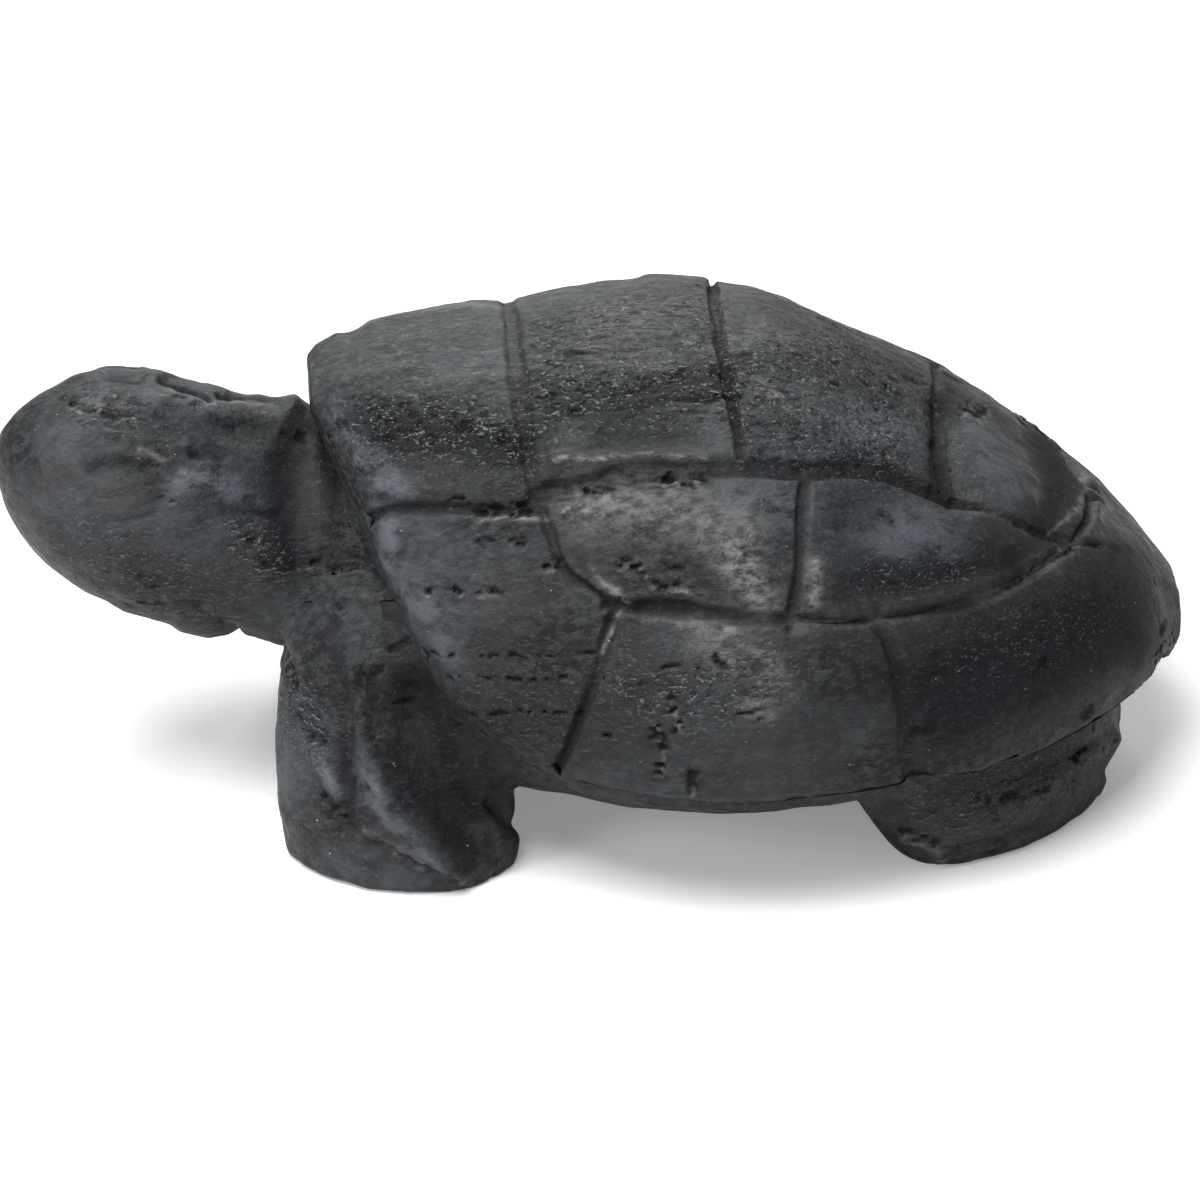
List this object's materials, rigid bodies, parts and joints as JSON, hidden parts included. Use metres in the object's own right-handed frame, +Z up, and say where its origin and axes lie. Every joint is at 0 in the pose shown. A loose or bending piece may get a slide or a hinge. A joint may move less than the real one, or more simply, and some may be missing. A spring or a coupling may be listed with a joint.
{
  "type": "turtle figurine",
  "caption": "Small hand-carved stone turtle standing on its feet, with a raised head and shallow grooves that mark the plates of its domed shell.",
  "frame": {"origin": "on the ground under the middle of the figure's box", "axes": "+X along the body towards the head, +Y the turtle's left, +Z up"},
  "size_m": [0.075, 0.0416, 0.0312],
  "materials": {
    "stone": "hand-rubbed dark grey stone with a low sheen"
  },
  "bodies": {
    "root": {"carapace": "stone", "body": "stone", "head_and_neck": "stone", "front_left_leg": "stone", "front_right_leg": "stone", "hind_left_leg": "stone", "hind_right_leg": "stone", "tail": "stone"}
  },
  "joints": []
}
